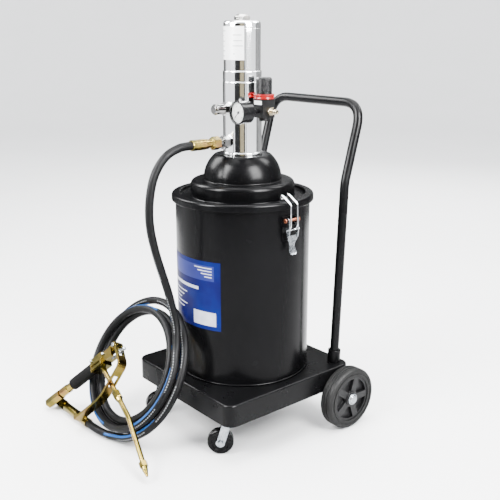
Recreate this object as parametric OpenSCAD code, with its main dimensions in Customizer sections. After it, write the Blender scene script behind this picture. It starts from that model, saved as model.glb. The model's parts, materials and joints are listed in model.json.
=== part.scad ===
// Pneumatic grease pump: a drum on a hand trolley with an air pump on its lid,
// a filter regulator, a grease hose and a hand gun that leans on the coiled hose.
// Millimetres, +Z up, floor at z = 0, cart front towards -Y, air inlet towards +X.

/* [Stand] */
// where the drum axis stands in the frame, across
stand_x = 50; // [0:0.5:80]
// where the drum axis stands in the frame, along
stand_y = 55; // [0:0.5:80]
// gap between pieces that move on each other
run_gap = 0.3; // [0.3:0.05:0.6]
// gap between pieces that are pushed together by hand
slip_gap = 0.2; // [0.1:0.05:0.4]

/* [Platform] */
// width of the tray across the cart
tray_w = 304; // [280:1:330]
// length of the tray along the cart
tray_l = 316; // [290:1:340]
// height of the tray top above the floor
tray_top = 124; // [110:1:140]
// depth of the folded skirt
skirt_h = 43; // [35:1:50]
// corner radius of the tray
tray_r = 20; // [12:1:30]
// sheet thickness of the tray
tray_t = 2; // [1.5:0.1:3]
// width of the welded channel that carries the casters
channel_w = 66; // [60:1:80]

/* [Wheels] */
// outside diameter of the rear tyres
tyre_d = 125; // [110:1:140]
// width of the rear tyres
tyre_w = 30; // [24:1:36]
// diameter where the tyre sits on the hub
rim_d = 92; // [80:1:100]
// diameter of the rear axle
axle_d = 12; // [10:0.5:16]
// distance of the axle in front of the back of the tray
axle_in = 27; // [22:1:36]
// diameter of an axle cap
cap_d = 23; // [20:1:28]
// gap from the tray to the inner face of a wheel
wheel_gap = 3; // [2:0.5:8]
// number of spokes in a hub
spokes = 5; // [4:1:7]

/* [Casters] */
// distance of a caster swivel from the side of the tray
caster_in_x = 44; // [38:1:54]
// distance of a caster swivel from the front of the tray
caster_in_y = 46; // [40:1:56]
// diameter of a caster wheel
caster_d = 50; // [45:1:55]
// width of a caster wheel
caster_w = 18; // [15:1:22]
// distance of the caster axle behind its swivel
caster_trail = 25; // [22:1:30]
// width of a caster plate
plate_w = 58; // [52:1:64]
// heading of the right caster wheel, degrees from +X
caster_turn_right = 230; // [180:5:270]
// heading of the left caster wheel, degrees from +X
caster_turn_left = 250; // [200:5:290]

/* [Handle] */
// diameter of the handle tube
handle_d = 18; // [16:0.5:22]
// wall of the handle tube
handle_wall = 1.5; // [1:0.1:2.5]
// distance of a handle leg from the side of the tray
handle_in_x = 26; // [22:1:36]
// distance of a handle leg from the back of the tray
handle_in_y = 22; // [18:1:28]
// lean of the lower legs
lean_low = 2.4; // [0:0.1:6]
// lean of the upper part
lean_up = 15.3; // [10:0.1:20]
// height where the legs bend back
bend_z = 491; // [450:1:520]
// height of the top bar
bar_z = 640; // [610:1:680]
// centre-line radius of the corner bends
corner_r = 45; // [35:1:60]
// centre-line radius of the bend in the legs
kink_r = 90; // [60:5:120]
// height of a socket above the tray
socket_h = 26; // [20:1:34]
// wall of a socket
socket_wall = 3.8; // [3:0.1:5]

/* [Drum] */
// outside diameter of the drum
drum_d = 260; // [240:1:270]
// height of the drum from the tray to the top of its bead
drum_h = 348; // [320:1:370]
// sheet thickness of drum and lid
drum_t = 1.6; // [1.2:0.1:2.5]
// how far the top bead stands out
bead = 4; // [3:0.5:5]
// gasket thickness
gasket_t = 3; // [2:0.5:4]
// reach of the lid rim beyond the drum wall
rim_over = 7; // [6.5:0.5:9]
// depth of the lid rim
rim_h = 14; // [12:1:22]
// radius of the raised ring on the lid
step_r = 100; // [90:1:104]
// top of the raised ring above the lid rim
step_up = 24; // [18:1:30]
// radius of the dome where it leaves the raised ring
dome_r = 75; // [70:1:84]
// radius of the dome arc
dome_arc = 62; // [56:1:64]

/* [Pump] */
// diameter of the pump body
body_d = 73; // [68:0.5:78]
// height of the pump body
body_h = 150; // [136:1:160]
// diameter of the motor tube
motor_d = 68.6; // [64:0.2:72]
// height of the motor tube with its head
motor_h = 88; // [80:1:100]
// wall of the motor tube
motor_wall = 3; // [2:0.1:4]
// thickness of the motor head
head_t = 14; // [10:1:20]
// height of the pump flange on the lid
flange_t = 5; // [3:0.5:8]
// diameter of the piston rod
rod_d = 12; // [10:0.5:14]
// stroke of the air piston
stroke = 40; // [30:1:45]
// outside diameter of the suction tube
suction_d = 32; // [28:1:40]
// gap under the foot valve
foot_gap = 10; // [6:1:16]
// thickness of the follower plate
follower_t = 14; // [10:1:20]
// width across the flats of the top plug
plug_af = 27; // [24:1:30]
// length of the muffler barrel
muffler_l = 22; // [18:1:30]
// height of the muffler above the lid top
muffler_z = 86; // [76:1:92]
// height of the grease outlet above the lid top
outlet_z = 25; // [20:1:30]

/* [Air set] */
// distance of the regulator axis from the pump axis
reg_x = 62; // [58:1:70]
// width of the regulator block
reg_w = 28; // [24:1:32]
// height of the regulator block
reg_h = 33; // [28:1:38]
// height of the regulator axis port above the lid top
reg_port_z = 85; // [76:1:92]
// diameter of the red ring
ring_d = 38; // [36:1:42]
// diameter of the knob
knob_d = 29; // [26:0.5:32]
// height of the knob
knob_h = 29; // [24:1:34]
// diameter of the gauge
gauge_d = 42; // [38:1:46]
// depth of the gauge case
gauge_l = 26; // [22:1:30]
// length of the gauge stem
gauge_stem = 24; // [18:1:30]

/* [Hose] */
// diameter of the hose
hose_d = 15.5; // [14:0.5:17]
// middle radius of the hose coil
coil_r = 125; // [115:1:135]
// half the spread of the coil strands, outwards
coil_spread = 5; // [4:0.5:7]
// lean of the coil plane from the floor
coil_lean = 62; // [60:1:70]
// centre of the coil, across from the drum axis
coil_x = -95; // [-110:1:-80]
// distance of the middle of the coil in front of the drum wall
coil_stand = 70; // [69:1:80]
// height of the centre of the coil
coil_z = 134.5; // [134:0.5:150]

/* [Gun] */
// distance of the gun plane in front of the coil plane
gun_off = 32; // [31.5:0.5:40]
// swivel of the gun in the coil plane, across
swivel_u = -178; // [-185:1:-170]
// swivel of the gun in the coil plane, up
swivel_v = -146; // [-150:1:-142]
// angle of the gun in its plane
gun_turn = 47.3; // [40:0.1:55]
// width across the flats of the swivel pieces
swivel_af = 19; // [17:0.5:19.4]
// distance from the swivel to the grip
grip_at = 74; // [68:1:80]
// length of the grip
grip_l = 73; // [60:1:80]
// diameter of the grip
grip_d = 25; // [22:0.5:25]
// diameter of the gun tube in the grip
gun_tube_d = 17; // [14:0.5:18]
// length of the gun head
head_l = 64; // [60:1:66]
// width of the gun head
head_w = 24; // [20:1:24]
// thickness of the trigger strip
lever_t = 5; // [4:0.5:6]
// width of the trigger strip
lever_w = 20; // [18:1:20]
// diameter of the trigger pin
pin_d = 5; // [4:0.5:6]
// diameter of the nozzle tube
nozzle_d = 10; // [8:0.5:11]
// bend of the nozzle tube
nozzle_turn = 10; // [5:1:20]
// centre-line radius of the nozzle bend
nozzle_r = 60; // [40:5:90]
// length of the nozzle from the head to its bend
nozzle_first = 158; // [140:1:170]
// length of the nozzle from its bend to the tip
nozzle_last = 100; // [80:1:110]

/* [Latches] */
// height of the latch pivot
latch_z = 444; // [430:1:450]
// distance of the latch pivot outside the drum wall
latch_out = 11; // [10:0.5:14]
// distance from the latch pivot to the bail pin
latch_arm = 18; // [15:1:20]
// width of a latch lever
latch_w = 20; // [18:1:24]
// diameter of the bail wire
wire_d = 3; // [2.5:0.1:4]
// diameter of the latch pivot pin
latch_pin_d = 5; // [4:0.5:6]

/* [Hidden] */
$fn = 96;
eps = 0.01;
// a bent tube is a touch thicker in its bends, and its straight runs reach a little into them
swell = 0.1;
lap = 1;

skirt_z = tray_top - skirt_h;
axle_z = tyre_d / 2;
wheel_x = tray_w / 2 + wheel_gap;
bracket_x = tray_w / 2 - tray_t - 12;
axle_y = tray_l / 2 - axle_in;
caster_x = tray_w / 2 - caster_in_x;
caster_y = tray_l / 2 - caster_in_y;
handle_x = tray_w / 2 - handle_in_x;
handle_y = tray_l / 2 - handle_in_y;
drum_r = drum_d / 2;
coil_y = -drum_r - coil_stand;
drum_top = tray_top + drum_h;
lid_top = drum_top + gasket_t + drum_t;
rim_r = drum_r + rim_over;
deck_top = lid_top - 7;
step_top = lid_top + step_up;
dome_cx = dome_r - dome_arc;
dome_z = step_top + 1;
dome_top = dome_z + sqrt(dome_arc * dome_arc - 40 * 40);
body_z = dome_top + flange_t;
body_top = body_z + body_h;
motor_top = body_top + motor_h;
body_r = body_d / 2;
motor_r = motor_d / 2;
rod_gap_r = rod_d / 2 + run_gap;
suction_low = tray_top + drum_t + foot_gap;
piston_z = body_top + 3;
port_z = body_z + reg_port_z - flange_t;
outlet_h = body_z + outlet_z - flange_t;
muffler_h = body_z + muffler_z - flange_t;
hose_y = -(body_r + 83.5);
ring_z = port_z + reg_h * 0.64;
gauge_y = -(reg_w / 2 + gauge_stem);
gauge_face = gauge_y - gauge_l;
bend_y = handle_y + (bend_z - tray_top) * tan(lean_low);
bar_y = bend_y + (bar_z - bend_z) * tan(lean_up);
link_w = -swivel_af - run_gap * 2;
pivot_a = grip_at + grip_l + head_l + 10;
pivot_p = 10;
strip_a = pivot_a + 3;
pivot_x = drum_r + latch_out;
bail_x = pivot_x + 2;
bail_z = latch_z - latch_arm;
bail_y = latch_w / 2 - wire_d / 2 - 2 * run_gap;

// frames

module at_stand() translate([stand_x, stand_y, 0]) children();

module at_coil() at_stand() translate([coil_x, coil_y, coil_z]) rotate([coil_lean, 0, 0]) children();

module at_gun() at_coil() translate([swivel_u, swivel_v, gun_off]) rotate([0, 0, gun_turn]) children();

module at_link() at_coil() translate([swivel_u, swivel_v, gun_off + link_w]) children();

module along_x() rotate([0, 90, 0]) children();

module along_front() rotate([90, 0, 0]) children();

module both_sides() {
    children();
    mirror([1, 0, 0]) children();
}

// shapes

module round_rect(w, l, r) {
    square([w - 2 * r, l], center = true);
    square([w, l - 2 * r], center = true);
    for (sx = [-1, 1], sy = [-1, 1])
        translate([sx * (w / 2 - r), sy * (l / 2 - r)]) circle(r);
}

module strip(p, q, t) {
    d = q - p;
    translate(p) rotate(atan2(d[1], d[0])) translate([0, -t / 2]) square([norm(d), t]);
}

// outline of a bent strip along a line of points, with mitred corners

function unit(v) = v / norm(v);
function left_of(v) = [-v[1], v[0]];
function mitre(p, i) = let (n = len(p) - 1, a = unit(p[max(i, 1)] - p[max(i, 1) - 1]),
    b = unit(p[min(i, n - 1) + 1] - p[min(i, n - 1)]), m = unit(left_of(a + b))) m / (m * left_of(a));
function ribbon(p, t) = concat([for (i = [0 : len(p) - 1]) p[i] + t / 2 * mitre(p, i)],
    [for (i = [len(p) - 1 : -1 : 0]) p[i] - t / 2 * mitre(p, i)]);

module hexagon(af, h) rotate(30) cylinder(d = af / cos(30), h = h, $fn = 6);

module wire(p, q, d) {
    v = q - p;
    translate(p) rotate([0, acos(v[2] / norm(v)), atan2(v[1], v[0])])
        cylinder(d = d, h = norm(v), $fn = 32);
}

module knuckle(p, d) translate(p) sphere(d = d + 2 * swell, $fn = 32);

// sweep of a round section along route points; ref is a direction that the route never follows

function heading(p, i) = unit(p[min(i + 1, len(p) - 1)] - p[max(i - 1, 0)]);

module sweep(route, d, ref, sides = 10) {
    n = len(route);
    points = [for (i = [0 : n - 1]) let (t = heading(route, i), a = unit(cross(t, ref)), b = cross(t, a))
        for (k = [0 : sides - 1]) route[i] + d / 2 * (cos(360 * k / sides) * a + sin(360 * k / sides) * b)];
    walls = [for (i = [0 : n - 2], k = [0 : sides - 1]) let (m = (k + 1) % sides)
        [i * sides + k, i * sides + m, (i + 1) * sides + m, (i + 1) * sides + k]];
    first = [[for (k = [sides - 1 : -1 : 0]) k]];
    last = [[for (k = [0 : sides - 1]) (n - 1) * sides + k]];
    polyhedron(points = points, faces = concat(walls, first, last));
}

// trolley

module platform() at_stand() color("#1d1e20") difference() {
    translate([0, 0, skirt_z]) linear_extrude(skirt_h) round_rect(tray_w, tray_l, tray_r);
    translate([0, 0, skirt_z - 1]) linear_extrude(skirt_h + 1 - tray_t)
        round_rect(tray_w - 2 * tray_t, tray_l - 2 * tray_t, tray_r - tray_t);
}

module caster_channel() at_stand() color("#1d1e20") difference() {
    translate([-tray_w / 2 + tray_r + 4, -caster_y - channel_w / 2 + 1, skirt_z])
        cube([tray_w - 2 * tray_r - 8, channel_w, skirt_h - tray_t]);
    translate([-tray_w / 2, -caster_y - channel_w / 2 + 1 + tray_t, skirt_z + tray_t])
        cube([tray_w, channel_w - 2 * tray_t, skirt_h]);
}

module axle_brackets() at_stand() color("#1d1e20") both_sides() difference() {
    union() {
        translate([bracket_x - 4, axle_y - 24, axle_z]) cube([4, 48, tray_top - tray_t - axle_z]);
        translate([bracket_x - 4, axle_y, axle_z]) along_x() cylinder(r = 16, h = 4);
    }
    translate([bracket_x - 6, axle_y, axle_z]) along_x() cylinder(d = axle_d + 2 * slip_gap, h = 12);
}

module leg_line(d, low, up) translate([handle_x, handle_y, tray_top]) rotate([-lean_low, 0, 0])
    translate([0, 0, low]) cylinder(d = d, h = up - low);

module handle_sockets() at_stand() color("#1d1e20") both_sides() difference() {
    intersection() {
        leg_line(handle_d + 2 * (slip_gap + socket_wall), -20, socket_h);
        translate([handle_x - 30, handle_y - 30, tray_top]) cube([60, 60, socket_h + 4]);
    }
    leg_line(handle_d + 2 * slip_gap, -30, socket_h + 10);
}

// lower legs, bend back, upper legs, corner bends and the top bar, as one bent tube

module handle_rod(d, low) {
    low_l = (bend_z - tray_top) / cos(lean_low);
    up_l = (bar_z - bend_z) / cos(lean_up);
    turn = lean_up - lean_low;
    cut = kink_r * tan(turn / 2);
    both_sides() {
        leg_line(d, low, low_l - cut + lap);
        translate([handle_x, handle_y, tray_top]) rotate([-lean_low, 0, 0]) translate([0, kink_r, low_l - cut])
            rotate([90, 0, -90]) rotate_extrude(angle = turn) translate([kink_r, 0]) circle(d = d + swell);
        translate([handle_x, bend_y, bend_z]) rotate([-lean_up, 0, 0]) translate([0, 0, cut - lap])
            cylinder(d = d, h = up_l - corner_r - cut + 2 * lap);
        translate([0, bend_y, bend_z]) rotate([-lean_up, 0, 0]) translate([handle_x - corner_r, 0, up_l - corner_r])
            rotate([90, 0, 0]) rotate_extrude(angle = 90) translate([corner_r, 0]) circle(d = d + swell);
    }
    translate([-handle_x + corner_r - lap, bar_y, bar_z]) along_x()
        cylinder(d = d, h = 2 * (handle_x - corner_r + lap));
}

module handle() at_stand() color("#222326") difference() {
    handle_rod(handle_d, 2);
    handle_rod(handle_d - 2 * handle_wall, 0);
}

module axle() at_stand() color("#8f9399") translate([0, axle_y, axle_z]) {
    translate([-wheel_x - tyre_w - 4, 0, 0]) along_x() cylinder(d = axle_d, h = 2 * (wheel_x + tyre_w + 4));
    both_sides() translate([wheel_x - 7, 0, 0]) along_x() cylinder(d = axle_d + 8, h = 7 - run_gap);
}

module axle_caps() at_stand() color("#c9ccd0") both_sides()
    translate([wheel_x + tyre_w + run_gap, axle_y, axle_z]) difference() {
        union() {
            along_x() cylinder(d = cap_d, h = 2);
            translate([2, 0, 0]) along_x() cylinder(d1 = cap_d - 3, d2 = cap_d - 7, h = 3);
        }
        translate([-1, 0, 0]) along_x() cylinder(d = axle_d, h = 1 + 4 - run_gap);
    }

module hub_shape() {
    difference() {
        cylinder(d = rim_d, h = tyre_w - 2);
        translate([0, 0, -1]) cylinder(d = axle_d + 2 * run_gap, h = tyre_w + 2);
        for (z = [-1, tyre_w - 2 - 7]) translate([0, 0, z]) difference() {
            cylinder(d = rim_d - 9, h = 8);
            translate([0, 0, -1]) cylinder(d = 34, h = 10);
            for (k = [0 : spokes - 1]) rotate(90 + k * 360 / spokes)
                translate([0, -7, -1]) cube([rim_d, 14, 10]);
        }
    }
    difference() {
        cylinder(d = 31, h = tyre_w);
        translate([0, 0, -1]) cylinder(d = axle_d + 2 * run_gap, h = tyre_w + 2);
    }
}

module wheel_hub() translate([wheel_x, axle_y, axle_z]) along_x() hub_shape();

module wheel_hub_right() at_stand() color("#45474b") wheel_hub();

module wheel_hub_left() at_stand() color("#45474b") mirror([1, 0, 0]) wheel_hub();

module tyre_shape() rotate_extrude() difference() {
    union() {
        translate([rim_d / 2, 0]) square([(tyre_d - rim_d) / 2 - 6, tyre_w]);
        translate([rim_d / 2, 6]) square([(tyre_d - rim_d) / 2, tyre_w - 12]);
        for (y = [6, tyre_w - 6]) translate([tyre_d / 2 - 6, y]) circle(6);
    }
    translate([rim_d / 2 + 5, -1]) square([3, 2.2]);
    translate([rim_d / 2 + 5, tyre_w - 1.2]) square([3, 2.2]);
}

module wheel_tyre() translate([wheel_x, axle_y, axle_z]) along_x() tyre_shape();

module tyre_right() at_stand() color("#18191a") wheel_tyre();

module tyre_left() at_stand() color("#18191a") mirror([1, 0, 0]) wheel_tyre();

module caster_plates() at_stand() color("#b9bdc2") both_sides() translate([caster_x, -caster_y, 0]) {
    translate([0, 0, skirt_z - 2.5]) linear_extrude(2.5) round_rect(plate_w, plate_w, 6);
    translate([0, 0, skirt_z - 8]) cylinder(d1 = 30, d2 = 42, h = 5.5 + eps);
    translate([0, 0, skirt_z - 20]) cylinder(d = 10, h = 14);
    translate([0, 0, skirt_z - 22]) cylinder(d = 16, h = 4);
}

// a fork with its axle bolt, heading along +X from the swivel axis

module fork_shape() {
    yoke = skirt_z - 8 - run_gap - 4;
    half = caster_w / 2 + 0.6;
    difference() {
        union() {
            translate([0, 0, yoke]) cylinder(d = 40, h = 4);
            translate([0, -half - 2.5, yoke - 6]) cube([20, 2 * half + 5, 8]);
        }
        translate([0, 0, yoke - 20]) cylinder(d = 10 + 2 * run_gap, h = 40);
        translate([-30, -half, yoke - 20]) cube([80, 2 * half, 20]);
    }
    for (y = [-half - 2.5, half]) translate([0, y + 2.5, 0]) along_front() linear_extrude(2.5) {
        polygon([[3, yoke], [20, yoke], [caster_trail + 8, caster_d / 2], [caster_trail - 8, caster_d / 2 - 2]]);
        translate([caster_trail, caster_d / 2]) circle(8.5);
    }
    translate([caster_trail, half + 5, caster_d / 2]) along_front() cylinder(d = 6, h = 2 * half + 10);
    translate([caster_trail, half + 7, caster_d / 2]) along_front() hexagon(10, 4.5);
    translate([caster_trail, -half - 2.5, caster_d / 2]) along_front() hexagon(10, 4.5);
}

module caster_roll() translate([caster_trail, caster_w / 2, caster_d / 2]) along_front() difference() {
    union() {
        rotate_extrude() {
            translate([4, 0]) square([caster_d / 2 - 8, caster_w]);
            translate([4, 4]) square([caster_d / 2 - 4, caster_w - 8]);
            for (y = [4, caster_w - 4]) translate([caster_d / 2 - 4, y]) circle(4);
        }
    }
    translate([0, 0, -1]) cylinder(d = 6 + 2 * run_gap, h = caster_w + 2);
    for (z = [-1, caster_w - 2]) translate([0, 0, z]) difference() {
        cylinder(d = caster_d - 16, h = 3);
        translate([0, 0, -1]) cylinder(d = 14, h = 5);
    }
}

module caster_fork_right() at_stand() color("#c3c7cc")
    translate([caster_x, -caster_y, 0]) rotate(caster_turn_right) fork_shape();

module caster_fork_left() at_stand() color("#c3c7cc")
    translate([-caster_x, -caster_y, 0]) rotate(caster_turn_left) fork_shape();

module caster_wheel_right() at_stand() color("#1a1b1c")
    translate([caster_x, -caster_y, 0]) rotate(caster_turn_right) caster_roll();

module caster_wheel_left() at_stand() color("#1a1b1c")
    translate([-caster_x, -caster_y, 0]) rotate(caster_turn_left) caster_roll();

// drum and lid

module drum() at_stand() color("#151617") rotate_extrude() {
    translate([0, tray_top]) square([drum_r, drum_t]);
    translate([drum_r - drum_t, tray_top]) square([drum_t, drum_h - 2]);
    translate([drum_r - 3, drum_top - 8]) square([bead + 1, 6]);
    translate([drum_r - 1, drum_top - 10]) square([bead - 3, 10]);
    for (x = [drum_r - 1, drum_r + bead - 4]) translate([x, drum_top - 2]) circle(2);
    for (x = [drum_r - 1, drum_r + bead - 4]) translate([x, drum_top - 8]) circle(2);
    translate([drum_r, tray_top + 2]) circle(2, $fn = 24);
}

module lid() at_stand() color("#17181a") rotate_extrude() difference() {
    union() {
        translate([rim_r - 5, lid_top - 5]) circle(5);
        translate([rim_r - 16, lid_top - drum_t]) square([11, drum_t]);
        translate([rim_r - drum_t, lid_top - rim_h]) square([drum_t, rim_h - 5]);
        translate([rim_r - 16, deck_top - drum_t]) square([drum_t, lid_top - deck_top + drum_t]);
        translate([step_r - 8, deck_top - drum_t]) square([rim_r - 16 - step_r + 8 + drum_t, drum_t]);
        translate([step_r - drum_t, deck_top - drum_t]) square([drum_t, step_top - deck_top - 8 + drum_t]);
        translate([step_r - 9, step_top - 9]) circle(9);
        translate([dome_r - 6, step_top - drum_t]) square([step_r - dome_r - 3, drum_t]);
        intersection() {
            translate([dome_cx, dome_z]) circle(dome_arc);
            translate([0, step_top - drum_t]) square([dome_r, dome_top - step_top + drum_t]);
        }
        translate([0, dome_top - drum_t]) square([dome_cx + 40, drum_t]);
    }
    translate([rim_r - 5, lid_top - 5]) circle(5 - drum_t);
    translate([rim_r - 10, lid_top - 12]) square([5, 12 - drum_t]);
    translate([rim_r - 10, lid_top - 14]) square([10 - drum_t, 9]);
    translate([step_r - 9, step_top - 9]) circle(9 - drum_t);
    translate([step_r - 20, deck_top - 10]) square([20 - drum_t, step_top - deck_top + 1]);
    translate([dome_r - 20, step_top - 30]) square([step_r - dome_r + 11, 30 - drum_t]);
    intersection() {
        translate([dome_cx, dome_z]) circle(dome_arc - drum_t);
        translate([0, step_top - 3]) square([dome_r, dome_top - step_top + 3 - drum_t]);
    }
    translate([-1, 0]) square([suction_d / 2 + slip_gap + 1, 1000]);
}

module lid_gasket() at_stand() color("#2a2a2a") difference() {
    translate([0, 0, drum_top]) cylinder(r = drum_r + bead - 2, h = gasket_t);
    translate([0, 0, drum_top - 1]) cylinder(r = drum_r - 4, h = gasket_t + 2);
}

// latches, drawn at +X and mirrored for -X

module latch_bracket() difference() {
    union() {
        translate([drum_r - 4, -15, latch_z - 40]) cube([6, 30, 46]);
        for (y = [-15, 13]) translate([drum_r, y, latch_z - 12]) cube([latch_out + 4, 2, 17]);
    }
    translate([0, 0, latch_z - 60]) cylinder(r = drum_r, h = 80, $fn = 720);
    translate([pivot_x, 30, latch_z]) along_front() cylinder(d = latch_pin_d, h = 60);
}

module latch_brackets() at_stand() color("#141516") both_sides() latch_bracket();

module latch_pivots() at_stand() color("#b5714c") both_sides() translate([pivot_x, 17, latch_z]) along_front() {
    cylinder(d = latch_pin_d, h = 34);
    cylinder(d = latch_pin_d + 3, h = 2);
    translate([0, 0, 32]) cylinder(d = latch_pin_d + 3, h = 2);
}

module latch_lever() {
    half = latch_w / 2;
    difference() {
        for (y = [-half - 1.8, half]) translate([0, y + 1.8, 0]) along_front() linear_extrude(1.8) {
            translate([pivot_x, latch_z]) circle(5);
            strip([pivot_x, latch_z], [bail_x, bail_z], 9);
            translate([bail_x, bail_z]) circle(4.5);
            strip([bail_x, bail_z], [bail_x + 1, bail_z - 14], 6);
        }
        translate([pivot_x, 30, latch_z]) along_front() cylinder(d = latch_pin_d + 2 * run_gap, h = 60);
        translate([bail_x, 30, bail_z]) along_front() cylinder(d = wire_d + 2 * run_gap, h = 60);
    }
    translate([0, half + 1.8, 0]) along_front() linear_extrude(latch_w + 3.6) {
        strip([bail_x + 1, bail_z - 12], [bail_x - 1, bail_z - 30], 2);
        translate([bail_x - 1, bail_z - 30]) circle(1);
    }
    translate([0, half - 2, 0]) along_front() linear_extrude(latch_w - 4) {
        strip([bail_x - 1, bail_z - 30], [bail_x + 7, bail_z - 46], 2);
        translate([bail_x + 7, bail_z - 46]) circle(1);
    }
}

module latch_lever_right() at_stand() color("#d3d6da") latch_lever();

module latch_lever_left() at_stand() color("#d3d6da") mirror([1, 0, 0]) latch_lever();

// wire bail: pin through the lever, two uprights past the pivot, over the rim, cross bar

module latch_bail() {
    top = lid_top + 12;
    bar_x = rim_r - 19;
    bar = lid_top + run_gap + wire_d / 2 + 1;
    out = rim_r + wire_d + 3.5;
    translate([bail_x, latch_w / 2 + 6, bail_z]) along_front() cylinder(d = wire_d, h = latch_w + 12, $fn = 32);
    for (y = [-bail_y, bail_y]) {
        wire([bail_x, y, bail_z], [out + 4, y, bail_z + 8], wire_d);
        knuckle([out + 4, y, bail_z + 8], wire_d);
        wire([out + 4, y, bail_z + 8], [out + 3, y, lid_top - 2], wire_d);
        knuckle([out + 3, y, lid_top - 2], wire_d);
        wire([out + 3, y, lid_top - 2], [bar_x + 3, y, top], wire_d);
        knuckle([bar_x + 3, y, top], wire_d);
        wire([bar_x + 3, y, top], [bar_x, y, bar], wire_d);
        knuckle([bar_x, y, bar], wire_d);
    }
    translate([bar_x, bail_y, bar]) along_front() cylinder(d = wire_d, h = 2 * bail_y, $fn = 32);
}

module latch_bail_right() at_stand() color("#e1e4e7") latch_bail();

module latch_bail_left() at_stand() color("#e1e4e7") mirror([1, 0, 0]) latch_bail();

// pump

module pump_flange() at_stand() color("#cfd2d6") translate([0, 0, dome_top]) difference() {
    cylinder(r = body_r + 1.5, h = flange_t);
    translate([0, 0, -1]) cylinder(r = suction_d / 2 + slip_gap, h = flange_t + 2);
}

module pump_body() at_stand() color("#d5d8dc") translate([0, 0, body_z]) difference() {
    union() {
        cylinder(r = body_r, h = body_h - 20.5);
        translate([0, 0, body_h - 21]) cylinder(r = body_r - 1, h = 2);
        translate([0, 0, body_h - 19.5]) cylinder(r = body_r - 0.4, h = 18.5);
        translate([0, 0, body_h - 1.5]) cylinder(r = motor_r - 1, h = 1.5);
    }
    translate([0, 0, -1]) cylinder(r = rod_gap_r, h = body_h + 2);
    translate([0, 0, -1]) cylinder(r = suction_d / 2, h = 13);
    translate([0, 0, outlet_h - body_z]) along_front() cylinder(d = 14, h = body_d);
    translate([0, 0, muffler_h - body_z]) along_front() cylinder(d = 12, h = body_d);
    translate([0, 0, port_z - body_z]) along_x() cylinder(d = 12, h = body_d);
}

module motor_tube() at_stand() color("#d8dbdf") translate([0, 0, body_top]) difference() {
    cylinder(r = motor_r, h = motor_h - head_t);
    translate([0, 0, -1]) cylinder(r = motor_r - motor_wall, h = motor_h);
}

module motor_head() at_stand() color("#d0d3d7") translate([0, 0, motor_top - head_t]) rotate_extrude() difference() {
    union() {
        translate([0, -4]) square([motor_r - motor_wall - slip_gap, 6]);
        square([motor_r, head_t - 6]);
        square([motor_r - 6, head_t]);
        translate([motor_r - 6, head_t - 6]) circle(6);
    }
    translate([-1, head_t - 9]) square([9, 20]);
}

module top_plug() at_stand() color("#b9a46a") translate([0, 0, motor_top]) {
    translate([0, 0, -7]) cylinder(r = 8 - slip_gap, h = 7 + eps);
    hexagon(plug_af, 8);
    translate([0, 0, 8 - eps]) cylinder(d1 = plug_af - 2, d2 = plug_af - 8, h = 3);
}

module air_piston() at_stand() color("#9ea2a8") {
    translate([0, 0, piston_z]) cylinder(r = motor_r - motor_wall - run_gap, h = 16);
    translate([0, 0, suction_low + 32]) cylinder(d = rod_d, h = piston_z - suction_low - 32 + eps);
}

module suction_tube() at_stand() color("#aeb2b8") difference() {
    translate([0, 0, suction_low + 26]) cylinder(d = suction_d, h = body_z + 10 - suction_low - 26);
    translate([0, 0, suction_low]) cylinder(r = rod_gap_r + 2, h = 1000);
}

module foot_valve() at_stand() color("#8b8f95") translate([0, 0, suction_low]) difference() {
    cylinder(d = suction_d, h = 26);
    translate([0, 0, 6]) cylinder(r = rod_gap_r + 1, h = 30);
    for (k = [0 : 3]) rotate(45 + k * 90) translate([0, 0, 12]) along_x() cylinder(d = 8, h = 30);
    translate([0, 0, -1]) cylinder(d = 8, h = 20);
}

module follower_plate() at_stand() color("#3a3b3d") translate([0, 0, tray_top + drum_t + 1]) difference() {
    union() {
        cylinder(r = drum_r - drum_t - 3, h = follower_t - 4);
        cylinder(r = drum_r - drum_t - 1, h = 5);
        cylinder(r = suction_d / 2 + 12, h = follower_t);
    }
    translate([0, 0, -1]) cylinder(r = suction_d / 2 + 0.5, h = follower_t + 2);
}

module muffler() at_stand() color("#c6c9cd") translate([0, 0, muffler_h]) {
    translate([0, -body_r + 12, 0]) along_front() cylinder(d = 12, h = 13);
    translate([0, -body_r - 0.6, 0]) along_front() hexagon(21, 10);
    translate([0, -body_r - 10, 0]) along_front() cylinder(d = 20, h = muffler_l - 3);
    translate([0, -body_r - 7 - muffler_l, 0]) along_front() cylinder(d1 = 20, d2 = 15, h = 3);
}

module outlet_adapter() at_stand() color("#c9ccd0") translate([0, 0, outlet_h]) difference() {
    union() {
        translate([0, -body_r + 14, 0]) along_front() cylinder(d = 14, h = 15);
        translate([0, -body_r - 0.6, 0]) along_front() hexagon(22, 13);
        translate([0, -body_r - 13, 0]) along_front() cylinder(d = 17, h = 8.5);
    }
    along_front() cylinder(d = 6, h = 200);
}

module hose_nut() at_stand() color("#c9a23c") translate([0, -body_r - 21.5, outlet_h]) difference() {
    union() {
        along_front() hexagon(22, 15);
        translate([0, -14.5, 0]) along_front() cylinder(d1 = 21, d2 = 17, h = 3.5);
    }
    translate([0, 1, 0]) along_front() cylinder(d = 8, h = 100);
}

module hose_ferrule() at_stand() color("#c9a23c") translate([0, -body_r - 39.5, outlet_h]) difference() {
    union() {
        along_front() cylinder(d = 15, h = 8);
        translate([0, -6, 0]) along_front() cylinder(d = hose_d + 5, h = 38);
    }
    along_front() cylinder(d = 6, h = 100);
    translate([0, -14, 0]) along_front() cylinder(d = hose_d, h = 100);
}

// hose: free drop, coil and tail

drop_line = [[0, hose_y + 22, outlet_h], [0, hose_y, outlet_h], [0, -146, outlet_h - 2], [0, -170, 563],
    [0, -189, 546], [0, -203, 522], [0, -211, 492], [0, -214, 460], [0, -212, 430], [0, -206, 400],
    [0, -198, 370], [0, -187, 335], [0, -178, 305], [2, -171, 272], [7, -168, 239], [15, -174, 209],
    [22, -181.5, 193], [32, -191.7, 171.3]];

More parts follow.
